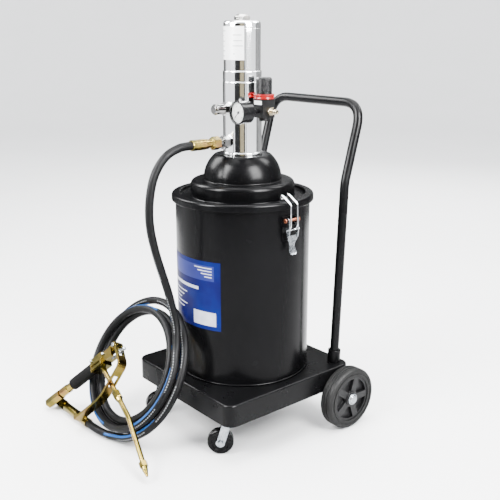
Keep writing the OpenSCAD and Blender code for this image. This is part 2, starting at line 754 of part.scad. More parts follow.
// the drop was drawn for a coil 200 in front of the drum axis, and its lower part goes with the coil
drop_route = [for (i = [0 : len(drop_line) - 1]) drop_line[i] + [0, (coil_y + 200) * min(1, max(0, i - 2) / 8), 0]];

tail_route = [[-76, swivel_v, gun_off + link_w], [-56, swivel_v, gun_off + link_w], [-40, -146, 12],
    [-24, -146, 10.5], [-8, -145, 8], [8, -143, 4.5], [24.5, -138.9, -0.3]];

module hose_drop() at_stand() color("#1b1c1e") sweep(drop_route, hose_d, [1, 0, 0]);

module hose_coil() at_coil() color("#1b1c1e") rotate_extrude() {
    for (s = [-1, 1]) translate([coil_r + s * coil_spread, 0]) circle(d = hose_d + 22.4);
    translate([coil_r - coil_spread, -hose_d / 2 - 11.2]) square([2 * coil_spread, hose_d + 22.4]);
}

module hose_tail() at_coil() color("#1b1c1e") sweep(tail_route, hose_d, [0, 0, 1]);

module hose_end() at_link() color("#c9a23c") difference() {
    union() {
        translate([64, 0, 0]) along_x() cylinder(d = 10, h = 14);
        translate([76.5, 0, 0]) along_x() hexagon(swivel_af - 1, 14);
        translate([90, 0, 0]) along_x() cylinder(d = hose_d + 3, h = -swivel_u - 90 - 56);
    }
    translate([100, 0, 0]) along_x() cylinder(d = hose_d, h = 60);
}

// air set

module regulator_body() at_stand() color("#1a1b1d") difference() {
    union() {
        translate([reg_x - reg_w / 2, -reg_w / 2, ring_z - reg_h]) cube([reg_w, reg_w, reg_h]);
        translate([reg_x, 0, ring_z - reg_h - 6]) cylinder(d = 19, h = 7);
        translate([body_r + 0.6, 0, port_z]) along_x() cylinder(d = 17, h = reg_x - body_r);
        translate([body_r - 14, 0, port_z]) along_x() cylinder(d = 12, h = 20);
    }
    translate([reg_x, 0, port_z]) along_x() cylinder(d = 10, h = 30);
    translate([reg_x, 0, port_z]) along_front() cylinder(d = 9, h = 30);
    translate([reg_x, 0, port_z]) cylinder(d = 16, h = 40);
}

module regulator_ring() at_stand() color("#d3262b") translate([reg_x, 0, ring_z]) difference() {
    cylinder(d = ring_d, h = 9);
    translate([0, 0, -1]) cylinder(d = 16, h = 12);
}

module regulator_knob() at_stand() color("#2a2b2e") translate([reg_x, 0, ring_z + 9 + run_gap]) {
    translate([0, 0, -14]) cylinder(d = 16 - 2 * run_gap, h = 14 + eps);
    difference() {
        union() {
            cylinder(d = knob_d, h = knob_h - 3);
            translate([0, 0, knob_h - 3]) cylinder(d1 = knob_d, d2 = knob_d - 4, h = 3);
        }
        for (k = [0 : 17]) rotate(k * 20) translate([knob_d / 2 + 0.4, 0, 3]) cylinder(d = 2.6, h = knob_h, $fn = 16);
    }
}

module air_inlet_plug() at_stand() color("#cbbf9c") translate([reg_x, 0, port_z]) difference() {
    union() {
        translate([6, 0, 0]) along_x() cylinder(d = 10, h = reg_w / 2 - 6 + 0.5);
        translate([reg_w / 2, 0, 0]) along_x() hexagon(13, 7);
        translate([reg_w / 2 + 7 - eps, 0, 0]) along_x() cylinder(d = 7, h = 8);
        translate([reg_w / 2 + 14, 0, 0]) along_x() cylinder(d = 10, h = 4);
        translate([reg_w / 2 + 18 - eps, 0, 0]) along_x() cylinder(d = 8, h = 4);
    }
    along_x() cylinder(d = 4.5, h = 60);
}

module gauge_case() at_stand() color("#191a1c") translate([reg_x, 0, port_z]) difference() {
    union() {
        translate([0, gauge_y, 0]) along_front() cylinder(d = gauge_d - 2, h = gauge_l - 4);
        translate([0, gauge_face + 5, 0]) along_front() cylinder(d = gauge_d, h = 5);
        translate([0, gauge_y + 1, 0]) along_front() cylinder(d1 = 13, d2 = 30, h = 3);
        translate([0, gauge_y + 8, 0]) along_front() hexagon(14, 9);
        translate([0, -8, 0]) along_front() cylinder(d = 9, h = gauge_stem);
    }
    translate([0, gauge_face + 6, 0]) along_front() cylinder(d = gauge_d - 5, h = 20);
}

module gauge_dial() at_stand() color("#f1f2f0") translate([reg_x, gauge_face + 6, port_z])
    difference() {
        along_front() cylinder(d = gauge_d - 5 - 2 * slip_gap, h = 1.2);
        translate([0, 3, 0]) along_front() cylinder(d = 2 + 2 * run_gap, h = 10);
    }

module gauge_lens() at_stand() color("#cfe0e8", 0.4) translate([reg_x, gauge_face + 1.8, port_z])
    along_front() cylinder(d = gauge_d - 5 - 2 * slip_gap, h = 1.2);

module gauge_needle() at_stand() color("#1c1c1c") translate([reg_x, gauge_face + 6 - 1.2 - run_gap, port_z]) {
    along_front() cylinder(d = 5, h = 1.4);
    rotate([0, 225, 0]) translate([-0.6, -1.0, -4]) cube([1.2, 0.7, gauge_d / 2 - 4]);
    translate([0, 1.2, 0]) along_front() cylinder(d = 2, h = 2);
}

// gun, drawn along its own axis from the swivel

module swivel_link() at_link() color("#c9a23c") difference() {
    union() {
        translate([-11, 0, 0]) along_x() hexagon(swivel_af, 34);
        translate([22, 0, 0]) along_x() cylinder(d = 13, h = 9);
        translate([30, 0, 0]) along_x() cylinder(d = swivel_af, h = 46);
        cylinder(d = 11, h = swivel_af + 2);
    }
    translate([60, 0, 0]) along_x() cylinder(d = 10 + 2 * run_gap, h = 40);
}

module swivel_block() at_gun() color("#c9a23c") difference() {
    union() {
        translate([-13, 0, 0]) along_x() hexagon(swivel_af, 44);
        translate([30, 0, 0]) along_x() cylinder(d = 13, h = 6);
    }
    translate([0, 0, -20]) cylinder(d = 11 + 2 * run_gap, h = 22 + run_gap);
}

module gun_tube() at_gun() color("#c9a23c") {
    translate([36, 0, 0]) along_x() hexagon(18, 22);
    translate([36, 0, 0]) along_x() cylinder(d = gun_tube_d, h = grip_at + grip_l - 36);
}

module grip() at_gun() color("#1b1c1d") difference() {
    translate([grip_at, 0, 0]) along_x() {
        cylinder(d1 = grip_d - 4, d2 = grip_d, h = 4);
        translate([0, 0, 4]) cylinder(d = grip_d, h = grip_l - 4);
    }
    translate([grip_at - 1, 0, 0]) along_x() cylinder(d = gun_tube_d, h = grip_l + 2);
}

module gun_head() at_gun() color("#c9a23c") difference() {
    union() {
        translate([grip_at + grip_l, -14, -head_w / 2]) cube([38, 28, head_w]);
        translate([grip_at + grip_l, -9, -head_w / 2 + 2]) cube([head_l, 20, head_w - 4]);
        translate([pivot_a - 20, pivot_p - 7, -5]) cube([20, 14, 10]);
        translate([pivot_a, pivot_p, -5]) cylinder(r = 7, h = 10);
    }
    translate([pivot_a, pivot_p, -10]) cylinder(d = pin_d, h = 20);
    translate([grip_at + grip_l + 19, 0, 0]) rotate([0, 0, -69]) translate([15, 0, 0]) along_x() cylinder(d = nozzle_d, h = 60);
    translate([grip_at + grip_l + head_l - 10, -7, 0]) along_x() cylinder(d = 7, h = 20);
}

module gun_end_plug() at_gun() color("#c8cbd0") translate([grip_at + grip_l + head_l - 10, -7, 0]) {
    along_x() cylinder(d = 7, h = 26);
    translate([25, 0, 0]) along_x() hexagon(10, 5);
    translate([29.9, 0, 0]) along_x() cylinder(d = 7, h = 8);
    translate([39, 0, 0]) sphere(d = 7.5);
}

// trigger strip: fork over the lug, long leg with a slot for the nozzle, tail along the grip

lever_corner = [strip_a + 5, -36];
lever_knee = [strip_a - 66, -76];
lever_tail = [strip_a - 150, -80];
lever_line = [[strip_a, pivot_p - 3], lever_corner + [-0.7, 8], lever_corner + [-1.4, 1.5],
    lever_corner + [-7, -5], lever_knee + [9, 4.2], lever_knee + [-9, -0.5], lever_tail];

module trigger_lever() at_gun() color("#c9a23c") difference() {
    union() {
        translate([0, 0, -lever_w / 2]) linear_extrude(lever_w) polygon(ribbon(lever_line, lever_t));
        translate([pivot_a, pivot_p, -lever_w / 2]) cylinder(r = 6.5, h = lever_w);
    }
    translate([pivot_a, pivot_p, -20]) cylinder(d = pin_d + 2 * run_gap, h = 40);
    translate([pivot_a - 40, -17, -5 - 2 * run_gap]) cube([80, 60, 10 + 4 * run_gap]);
    translate(lever_corner) rotate(atan2(lever_knee[1] - lever_corner[1], lever_knee[0] - lever_corner[0]))
        translate([28, -10, -nozzle_d / 2 - 1]) cube([26, 20, nozzle_d + 2]);
}

module trigger_pin() at_gun() color("#d7dade") translate([pivot_a, pivot_p, -lever_w / 2 - 2.5]) {
    cylinder(d = pin_d, h = lever_w + 5);
    cylinder(d = pin_d + 3, h = 2);
    translate([0, 0, lever_w + 3]) cylinder(d = pin_d + 3, h = 2);
}

nozzle_root = [grip_at + grip_l + 19, 0];
nozzle_cut = nozzle_r * tan(nozzle_turn / 2);
nozzle_bend = nozzle_root + nozzle_first * [cos(-69), sin(-69)];
nozzle_end = nozzle_bend + nozzle_last * [cos(-69 - nozzle_turn), sin(-69 - nozzle_turn)];
nozzle_centre = nozzle_bend - nozzle_cut * [cos(-69), sin(-69)] + nozzle_r * [sin(-69), -cos(-69)];

module nozzle_tube() at_gun() color("#cfa83f") {
    translate(nozzle_root) rotate(-69) translate([15, 0, 0]) along_x()
        cylinder(d = nozzle_d, h = nozzle_first - 15 - nozzle_cut + lap);
    translate(nozzle_centre) rotate(21 - nozzle_turn) rotate_extrude(angle = nozzle_turn)
        translate([nozzle_r, 0]) circle(d = nozzle_d + swell);
    translate(nozzle_bend) rotate(-69 - nozzle_turn) translate([nozzle_cut - lap, 0, 0]) along_x()
        cylinder(d = nozzle_d, h = nozzle_last - nozzle_cut + lap);
    translate(nozzle_root) rotate(-69) translate([88, 0, 0]) along_x() hexagon(15, 18);
    translate(nozzle_root) rotate(-69) translate([105, 0, 0]) along_x() cylinder(d1 = 14, d2 = 11, h = 8);
}

module nozzle_tip() at_gun() color("#cfa83f") translate(nozzle_end) rotate(-69 - nozzle_turn) difference() {
    union() {
        along_x() hexagon(14, 10);
        translate([9, 0, 0]) along_x() cylinder(d = 11, h = 8);
        translate([16, 0, 0]) along_x() cylinder(d1 = 11, d2 = 4, h = 14);
    }
    translate([-1, 0, 0]) along_x() cylinder(d = 2.5, h = 40);
}

platform();
caster_channel();
axle_brackets();
handle_sockets();
handle();
axle();
axle_caps();
wheel_hub_left();
wheel_hub_right();
tyre_left();
tyre_right();
caster_plates();
caster_fork_left();
caster_fork_right();
caster_wheel_left();
caster_wheel_right();
drum();
lid();
lid_gasket();
latch_brackets();
latch_pivots();
latch_lever_left();
latch_lever_right();
latch_bail_left();
latch_bail_right();
pump_flange();
pump_body();
motor_tube();
motor_head();
top_plug();
air_piston();
suction_tube();
foot_valve();
follower_plate();
muffler();
outlet_adapter();
hose_nut();
hose_ferrule();
hose_drop();
hose_coil();
hose_tail();
hose_end();
regulator_body();
regulator_ring();
regulator_knob();
air_inlet_plug();
gauge_case();
gauge_dial();
gauge_lens();
gauge_needle();
swivel_link();
swivel_block();
gun_tube();
grip();
gun_head();
gun_end_plug();
trigger_lever();
trigger_pin();
nozzle_tube();
nozzle_tip();
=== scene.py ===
import json
import math
import bmesh
import bpy
from mathutils import Matrix, Vector


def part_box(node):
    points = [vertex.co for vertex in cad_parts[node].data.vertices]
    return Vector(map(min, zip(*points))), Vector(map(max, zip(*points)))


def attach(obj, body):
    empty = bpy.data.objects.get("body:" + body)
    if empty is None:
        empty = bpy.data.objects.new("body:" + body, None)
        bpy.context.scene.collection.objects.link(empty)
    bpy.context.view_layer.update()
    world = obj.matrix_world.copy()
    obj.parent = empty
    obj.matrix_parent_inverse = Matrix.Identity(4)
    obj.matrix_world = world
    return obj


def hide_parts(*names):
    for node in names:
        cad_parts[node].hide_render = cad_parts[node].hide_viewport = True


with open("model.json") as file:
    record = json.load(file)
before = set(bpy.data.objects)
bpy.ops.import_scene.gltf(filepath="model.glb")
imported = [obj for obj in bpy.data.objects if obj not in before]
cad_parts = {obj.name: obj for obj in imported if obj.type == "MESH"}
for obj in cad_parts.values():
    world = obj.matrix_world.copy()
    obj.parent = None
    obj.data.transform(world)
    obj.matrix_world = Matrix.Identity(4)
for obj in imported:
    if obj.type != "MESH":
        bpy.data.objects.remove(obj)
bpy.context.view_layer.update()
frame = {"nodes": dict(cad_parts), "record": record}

# Tray of the trolley: one pressed sheet of 2 mm steel with a deep folded skirt and round corners.
# It is powder coated black, and its edges are the soft radii of the press tool.
# Every size below is in millimetres from the upright axis of the drum, the middle of the whole cart.
drum_low, drum_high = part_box("drum")
to_row = Matrix.Translation(((drum_low.x + drum_high.x) / 2, (drum_low.y + drum_high.y) / 2, 0))
to_row = to_row @ Matrix.Scale(0.001, 4)


def surface(name, colours, rough, metal=0.0, scale=30.0, stretch=(1, 1, 1), bump=0.0, bump_scale=900.0,
            spread=0.08, shine=0.5):
    """A finish whose colour, gloss and grain drift as on the real stuff; colours are (place, rgb)."""
    mat = bpy.data.materials.new(name)
    mat.use_nodes = True
    tree = mat.node_tree
    shader = tree.nodes["Principled BSDF"]
    shader.inputs["Metallic"].default_value = metal
    shader.inputs["Specular IOR Level"].default_value = shine
    where = tree.nodes.new("ShaderNodeTexCoord")
    turn = tree.nodes.new("ShaderNodeMapping")
    turn.inputs["Scale"].default_value = stretch
    tree.links.new(where.outputs["Object"], turn.inputs["Vector"])

    def cloud(size, fine):
        tex = tree.nodes.new("ShaderNodeTexNoise")
        tex.inputs["Scale"].default_value = size
        tex.inputs["Detail"].default_value = fine
        tree.links.new(turn.outputs["Vector"], tex.inputs["Vector"])
        return tex.outputs["Fac"]

    shade = tree.nodes.new("ShaderNodeValToRGB")
    while len(shade.color_ramp.elements) < len(colours):
        shade.color_ramp.elements.new(0.5)
    for stop, (place, rgb) in zip(shade.color_ramp.elements, colours):
        stop.position = place
        stop.color = (*rgb, 1)
    tree.links.new(cloud(scale, 4.0), shade.inputs["Fac"])
    tree.links.new(shade.outputs["Color"], shader.inputs["Base Color"])
    gloss = tree.nodes.new("ShaderNodeMapRange")
    gloss.inputs["From Min"].default_value = 0.3
    gloss.inputs["From Max"].default_value = 0.7
    gloss.inputs["To Min"].default_value = max(rough - spread, 0.02)
    gloss.inputs["To Max"].default_value = rough + spread
    tree.links.new(cloud(scale * 2.3, 3.0), gloss.inputs["Value"])
    tree.links.new(gloss.outputs["Result"], shader.inputs["Roughness"])
    if bump:
        relief = tree.nodes.new("ShaderNodeBump")
        relief.inputs["Strength"].default_value = bump
        relief.inputs["Distance"].default_value = 0.0004
        tree.links.new(cloud(bump_scale, 2.0), relief.inputs["Height"])
        tree.links.new(relief.outputs["Normal"], shader.inputs["Normal"])
    return mat


def soften(bm, ease, rounds=2, over=30.0):
    """Round every edge that turns by more than the angle over."""
    edges = [e for e in bm.edges if len(e.link_faces) == 2 and e.calc_face_angle(0) > math.radians(over)]
    bmesh.ops.bevel(bm, geom=edges, offset=ease, offset_type="OFFSET", affect="EDGES", segments=rounds,
                    profile=0.5, material=-1, clamp_overlap=True)


def fit(name, bm, finish, body, *nodes, sharp=40.0, place=to_row):
    """Put the shape in its place, give it its finish, and let it ride and stand for its CAD nodes."""
    bmesh.ops.recalc_face_normals(bm, faces=bm.faces)
    bmesh.ops.transform(bm, matrix=place, verts=bm.verts)
    mesh = bpy.data.meshes.new(name)
    bm.to_mesh(mesh)
    bm.free()
    mesh.shade_smooth()
    mesh.set_sharp_from_angle(angle=math.radians(sharp))
    mesh.materials.append(finish)
    made = bpy.data.objects.new(name, mesh)
    bpy.context.scene.collection.objects.link(made)
    made.modifiers.new("even_shading", "WEIGHTED_NORMAL").keep_sharp = True
    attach(made, body)
    if nodes:
        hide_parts(*nodes)
    return made


black_coat = surface("black_coat", ((0.3, (0.0018, 0.0018, 0.0020)), (0.75, (0.0032, 0.0032, 0.0036))), 0.28,
                     scale=9, bump=0.08, bump_scale=650, spread=0.05, shine=0.05)
tray_coat = surface("tray_coat", ((0.3, (0.0016, 0.0016, 0.0018)), (0.75, (0.0028, 0.0028, 0.0031))), 0.3,
                    scale=12, bump=0.12, bump_scale=520, spread=0.06, shine=0.045)
tray_wide, tray_long, tray_high, tray_top = 304, 316, 43, 124
bm = bmesh.new()
bmesh.ops.create_cube(bm, size=1, matrix=Matrix.Translation((0, 0, tray_top - tray_high / 2))
                      @ Matrix.Diagonal((tray_wide, tray_long, tray_high, 1)))
corners = [e for e in bm.edges if abs(e.verts[0].co.z - e.verts[1].co.z) > 1]
bmesh.ops.bevel(bm, geom=corners, offset=20, affect="EDGES", segments=10, profile=0.5, material=-1)
bmesh.ops.delete(bm, geom=[f for f in bm.faces if f.normal.z < -0.9], context="FACES")
rim = [e for e in bm.edges if min(v.co.z for v in e.verts) > tray_top - 0.1]
bmesh.ops.bevel(bm, geom=rim, offset=4, affect="EDGES", segments=4, profile=0.5, material=-1)
bmesh.ops.recalc_face_normals(bm, faces=bm.faces)
bmesh.ops.solidify(bm, geom=bm.faces[:], thickness=2)
fit("tray", bm, tray_coat, "base", "platform")


# Channel and axle brackets: folded and cut steel welded under the tray, coated with it in one go.
# They carry the casters at the front and the axle at the back.
def dress(finish, *nodes):
    """A CAD solid that already has its right shape keeps it and takes a finish."""
    for node in nodes:
        slots = frame["nodes"][node].data.materials
        slots.clear()
        slots.append(finish)


def eased(node, finish, ease, rounds=2, sharp=40.0):
    """A copy of a CAD solid with its sharp edges broken, as a deburred or plated piece has them."""
    bm = bmesh.new()
    bm.from_mesh(frame["nodes"][node].data)
    bmesh.ops.remove_doubles(bm, verts=bm.verts, dist=2e-6)
    bmesh.ops.dissolve_limit(bm, angle_limit=math.radians(1), verts=bm.verts, edges=bm.edges)
    soften(bm, ease / 1000, rounds)
    body = next(b for b, members in frame["record"]["behaviour"]["bodies"].items() if node in members)
    return fit(node + "_eased", bm, finish, body, node, sharp=sharp, place=Matrix.Identity(4))


dress(tray_coat, "caster_channel", "axle_brackets")

# Push handle: one bent steel tube that steps back above the drum, in two collars on the tray.
# Both are powder coated black; the collars are pressed on and pinned.
handle_thick, handle_half, collar_y, lean_low, lean_up = 18, 126, 136, 2.4, 15.3
kink_high, bar_high = 491, 640


def rounded(route, *radii, steps=10):
    """The route of a bent tube: straight runs with a bend at each corner, of the radius given for it."""
    route = [Vector(p) for p in route]
    radii = list(radii) + [radii[-1]] * len(route)
    out = [route[0]]
    for before, corner, after, radius in zip(route, route[1:], route[2:], radii):
        come, go = (corner - before).normalized(), (after - corner).normalized()
        reach = min(radius * math.tan(come.angle(go) / 2), (corner - before).length / 2,
                    (after - corner).length / 2)
        start, end = corner - come * reach, corner + go * reach
        for k in range(steps + 1):
            t = k / steps
            out.append(start * (1 - t) ** 2 + corner * 2 * t * (1 - t) + end * t ** 2)
    return out + [route[-1]]


def rod(name, routes, thick, finish, body, *nodes, closed=False):
    """Round wire or tube along one or more routes, as a curve in its own place."""
    line = bpy.data.curves.new(name, "CURVE")
    line.dimensions = "3D"
    line.bevel_depth = thick / 2000
    line.bevel_resolution = 8
    line.use_fill_caps = True
    for k, route in enumerate(routes):
        spline = line.splines.new("POLY")
        spline.points.add(len(route) - 1)
        for point, place in zip(spline.points, route):
            point.co = (*(to_row @ Vector(place)), 1)
        spline.use_cyclic_u = closed and k == 0
    line.materials.append(finish)
    made = bpy.data.objects.new(name, line)
    bpy.context.scene.collection.objects.link(made)
    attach(made, body)
    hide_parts(*nodes)
    return made


kink_y = collar_y + (kink_high - tray_top) * math.tan(math.radians(lean_low))
bar_y = kink_y + (bar_high - kink_high) * math.tan(math.radians(lean_up))
leg = [(handle_half, collar_y, tray_top + 2), (handle_half, kink_y, kink_high),
       (handle_half, bar_y, bar_high)]
route = leg + [(-x, y, z) for x, y, z in reversed(leg)]
rod("handle_tube", [rounded(route, 90, 45, 45, 90)], handle_thick, black_coat, "base", "handle")
eased("handle_sockets", black_coat, 1.2, 3)

# Road wheels: a solid rubber tyre moulded round a nylon hub with five ribs, running on a steel axle.
# A bright pressed cap is knocked on over each axle end.
axle_y, axle_high, wheel_x = 131, 62.5, 155
rubber = surface("tyre_rubber", ((0.3, (0.0030, 0.0030, 0.0030)), (0.7, (0.0055, 0.0055, 0.0054))), 0.58,
                 scale=60, bump=0.35, bump_scale=1400, spread=0.1, shine=0.09)
hub_nylon = surface("hub_nylon", ((0.3, (0.0030, 0.0030, 0.0033)), (0.7, (0.0055, 0.0055, 0.006))), 0.42,
                    scale=40, bump=0.15, bump_scale=1800, spread=0.06, shine=0.1)
bright_zinc = surface("bright_zinc", ((0.25, (0.12, 0.135, 0.15)), (0.5, (0.20, 0.215, 0.23)),
                                      (0.75, (0.28, 0.29, 0.305))), 0.26, metal=1, scale=120, bump=0.12,
                      bump_scale=1500, spread=0.1)


def turned(bm, outline, place=Matrix.Identity(4), steps=96, closed=False):
    """Spin an outline of (radius, height) points about its own upright axis, then put it in place."""
    was = set(bm.verts)
    line = [bm.verts.new((r, 0, h)) for r, h in outline]
    pairs = zip(line, line[1:] + line[:1]) if closed else zip(line, line[1:])
    edges = [bm.edges.new(pair) for pair in pairs]
    bmesh.ops.spin(bm, geom=line + edges, cent=(0, 0, 0), axis=(0, 0, 1), angle=2 * math.pi, steps=steps,
                   use_merge=True)
    bmesh.ops.remove_doubles(bm, verts=[v for v in bm.verts if v not in was], dist=0.002)
    bmesh.ops.transform(bm, matrix=place, verts=[v for v in bm.verts if v not in was])


def arc(cx, cy, radius, start, end, steps=6):
    """Points of a round corner in an outline, by its centre and its first and last angle."""
    turn = [math.radians(start + (end - start) * k / steps) for k in range(steps + 1)]
    return [(cx + radius * math.cos(a), cy + radius * math.sin(a)) for a in turn]


groove = [(62.5, 10), (61.2, 10.5), (61.2, 12), (62.5, 12.5)]
tread = [(46, 0), (50.6, 0), (51, 1.2), (54, 1.2), (54.4, 0)] + arc(56.5, 6, 6, -90, 0) + groove
tread += [(r, 30 - h) for r, h in reversed(tread)]
for side, turn in (("right", 90), ("left", -90)):
    spot = Matrix.Translation((math.copysign(wheel_x, turn), axle_y, axle_high))
    bm = bmesh.new()
    turned(bm, tread, spot @ Matrix.Rotation(math.radians(turn), 4, "Y"), closed=True)
    fit("tyre_tread_" + side, bm, rubber, "wheel_" + side, "tyre_" + side)
    eased("wheel_hub_" + side, hub_nylon, 1.1, 3)
dress(bright_zinc, "axle")
eased("axle_caps", bright_zinc, 0.8, 3)

# Swivel casters: pressed, zinc plated plates and forks with black nylon wheels on a bolt.
# Each plate is bolted under the channel by four hexagon screws.
nylon = surface("caster_nylon", ((0.3, (0.0010, 0.0010, 0.0012)), (0.7, (0.0022, 0.0022, 0.0024))), 0.26,
                scale=70, bump=0.12, bump_scale=1500, spread=0.06, shine=0.06)
caster_x, caster_y, skirt, screw_off = 108, 112, 81, 22
eased("caster_plates", bright_zinc, 0.6)
bm = bmesh.new()
for side in (-1, 1):
    for dx in (-screw_off, screw_off):
        for dy in (-screw_off, screw_off):
            head = Matrix.Translation((side * caster_x + dx, dy - caster_y, skirt - 4.5))
            bmesh.ops.create_cone(bm, cap_ends=True, segments=6, radius1=5, radius2=5.8, depth=4, matrix=head)
soften(bm, 0.4)
fit("caster_screws", bm, bright_zinc, "base", sharp=30)
for side in ("left", "right"):
    eased("caster_fork_" + side, bright_zinc, 0.6)
    eased("caster_wheel_" + side, nylon, 0.8, 3)

# Grease drum: a rolled sheet steel can with a seamed foot and a curled top edge, in black stove enamel.
# A printed vinyl label wraps round its front.
enamel = surface("drum_enamel", ((0.3, (0.0013, 0.0013, 0.0015)), (0.75, (0.0024, 0.0024, 0.0027))), 0.24,
                 scale=7, bump=0.02, bump_scale=420, spread=0.04, shine=0.035)
drum_r = 130
wall = [(110, 124.2)] + arc(129.8, 126.2, 2, -90, 90) + [(drum_r, 129 + k * 33) for k in range(11)]
wall += [(drum_r, 461.5)] + arc(132, 464, 2, -70, 0) + arc(132, 470, 2, 0, 90) + arc(129, 470, 2, 90, 180)
bm = bmesh.new()
turned(bm, wall + [(127, 462), (128.4, 460), (128.4, 140)], steps=160)
fit("drum_can", bm, enamel, "base", "drum")

print_blue = surface("label_blue", ((0.35, (0.0013, 0.0015, 0.026)), (0.5, (0.0018, 0.0028, 0.046)),
                                    (0.7, (0.0016, 0.0110, 0.095))), 0.4, scale=9, spread=0.05, shine=0.03)
panel_blue = surface("label_panel", ((0.25, (0.012, 0.015, 0.085)), (0.75, (0.019, 0.026, 0.125))), 0.4,
                     scale=14, spread=0.05, shine=0.03)
pale_ink = surface("label_pale", ((0.3, (0.30, 0.31, 0.37)), (0.7, (0.40, 0.41, 0.46))), 0.42, scale=60,
                   spread=0.05, shine=0.1)


def wrap(bm, radius, first, last, low, high, ink=0):
    """A patch of print round an upright tube, between two angles and two heights."""
    was = set(bm.faces)
    ends = [bm.verts.new((radius, 0, h)) for h in (low, high)]
    bmesh.ops.rotate(bm, verts=ends, matrix=Matrix.Rotation(math.radians(first), 3, "Z"))
    edge = bm.edges.new(ends)
    bmesh.ops.spin(bm, geom=ends + [edge], cent=(0, 0, 0), axis=(0, 0, 1), angle=math.radians(last - first),
                   steps=max(2, int(abs(last - first) / 1.5)))
    for face in bm.faces:
        if face not in was:
            face.material_index = ink


bm = bmesh.new()
wrap(bm, drum_r + 0.15, -140, -57.7, 233, 366)
wrap(bm, drum_r + 0.25, -139, -63.5, 329, 358, 1)
for k in range(4):
    wrap(bm, drum_r + 0.32, -83 + 3.5 * k, -65.5, 352.5 - 5.6 * k, 354.3 - 5.6 * k, 2)
wrap(bm, drum_r + 0.25, -139, -79, 309, 315, 2)
for k in range(5):
    wrap(bm, drum_r + 0.25, -139, -94 - 5 * (k % 3), 296 - 8 * k, 298 - 8 * k, 2)
wrap(bm, drum_r + 0.25, -85, -62, 241, 268, 2)
label = fit("drum_label", bm, print_blue, "base")
label.data.materials.append(panel_blue)
label.data.materials.append(pale_ink)

# Lid: a spun steel cover with a rolled rim, a flat deck, a raised step and a dome under the pump.
# It is enamelled like the drum and sits on a rubber ring.
lid_top, dome_top = 476.6, 548.9
cover = [(135.4, 470), (135.4, 463.2)] + arc(135.8, 463.8, 1.2, -90, 0, 4) + arc(132, 471.6, 5, 0, 90)
cover += arc(123, 474.6, 2, 90, 180)
cover += arc(119, 471.6, 2, 0, -90) + arc(103, 472.6, 3, -90, -180) + arc(91, 491.6, 9, 0, 90, 8)
cover += arc(77, 502.6, 2, -90, -180) + arc(13, 501.6, 62, 3, 48, 14) + arc(52, 546.9, 2, 40, 90)
cover += [(30, dome_top)]
bm = bmesh.new()
turned(bm, cover, steps=160)
fit("lid_cover", bm, enamel, "base", "lid")
dress(rubber, "lid_gasket")

# Toggle latches: plated steel levers on copper pins, each with a bail of bright wire over the rim.
# Their black brackets are spot welded to the drum.
bright_wire = surface("bright_wire", ((0.3, (0.36, 0.37, 0.39)), (0.7, (0.52, 0.53, 0.54))), 0.16, metal=1,
                      scale=200, spread=0.06, bump=0.05)
copper = surface("copper_pin", ((0.3, (0.15, 0.045, 0.024)), (0.7, (0.24, 0.085, 0.045))), 0.3, metal=1,
                 scale=200, spread=0.08)
eased("latch_brackets", black_coat, 0.5)
eased("latch_pivots", copper, 0.7)
bail_y, pin_x, pin_high, over_top, hook_x, hook_high = 7.9, 143, 426, 488.6, 118, 479.4
half = [(pin_x, -bail_y, pin_high), (pin_x + 4.5, -bail_y, pin_high + 8), (pin_x + 3.5, -bail_y, lid_top - 2),
        (hook_x + 3, -bail_y, over_top), (hook_x, -bail_y, hook_high)]


def flowing(stations, steps=6):
    """A smooth run of values through the given rows of numbers."""
    ends = stations[:1] + stations + stations[-1:]
    line = []
    for rows in zip(ends, ends[1:], ends[2:], ends[3:]):
        for t in (k / steps for k in range(steps)):
            line.append([q + 0.5 * t * (r - p + t * (2 * p - 5 * q + 4 * r - s + t * (3 * q - p - 3 * r + s)))
                         for p, q, r, s in zip(*rows)])
    return line + stations[-1:]


thumb = flowing([(144, 416, 11.8), (143.4, 408, 11.2), (142.2, 401, 7.6), (142, 395, 6.6), (143.4, 388, 8),
                 (146.6, 382.8, 7.8), (149, 380.6, 4.6)])
cheek = arc(141, 444, 5, 0, 180, 12)
cheek += [(137, 433), (138.8, 424), (141.6, 412), (145.4, 412), (147.2, 424), (146.8, 433)]
sheet_thick, cheek_out, bail_thick = 1.8, 11.8, 2.5
for side, mirror in (("right", 1), ("left", -1)):
    bm = bmesh.new()
    rows = [[bm.verts.new((mirror * x, wide * k / 3, z)) for k in range(-3, 4)] for x, z, wide in thumb]
    sheet = [bm.faces.new((a, b, d, c)) for up, down in zip(rows, rows[1:])
             for a, b, c, d in zip(up, up[1:], down, down[1:])]
    bmesh.ops.solidify(bm, geom=sheet, thickness=sheet_thick)
    for low in (-cheek_out, cheek_out - sheet_thick):
        plate = bm.faces.new([bm.verts.new((mirror * x, low, z)) for x, z in cheek])
        lifted = bmesh.ops.extrude_face_region(bm, geom=[plate], use_keep_orig=True)["geom"]
        raised = [v for v in lifted if isinstance(v, bmesh.types.BMVert)]
        bmesh.ops.translate(bm, vec=(0, sheet_thick, 0), verts=raised)
    soften(bm, 0.4)
    fit("latch_lever_%s_plated" % side, bm, bright_zinc, "latch_" + side, "latch_lever_" + side)
    loop = half + [(x, -y, z) for x, y, z in reversed(half)]
    loop = [(pin_x, 0, pin_high)] + loop + [(pin_x, 0, pin_high)]
    loop = [(mirror * x, y, z) for x, y, z in rounded(loop, 3.2, 6, 6, 3, 3, 3, 3, 6, 6, 3.2)]
    pin = [(mirror * pin_x, y, pin_high) for y in (-16, 16)]
    rod("bail_wire_" + side, [loop, pin], bail_thick, bright_wire, "bail_" + side, "latch_bail_" + side)

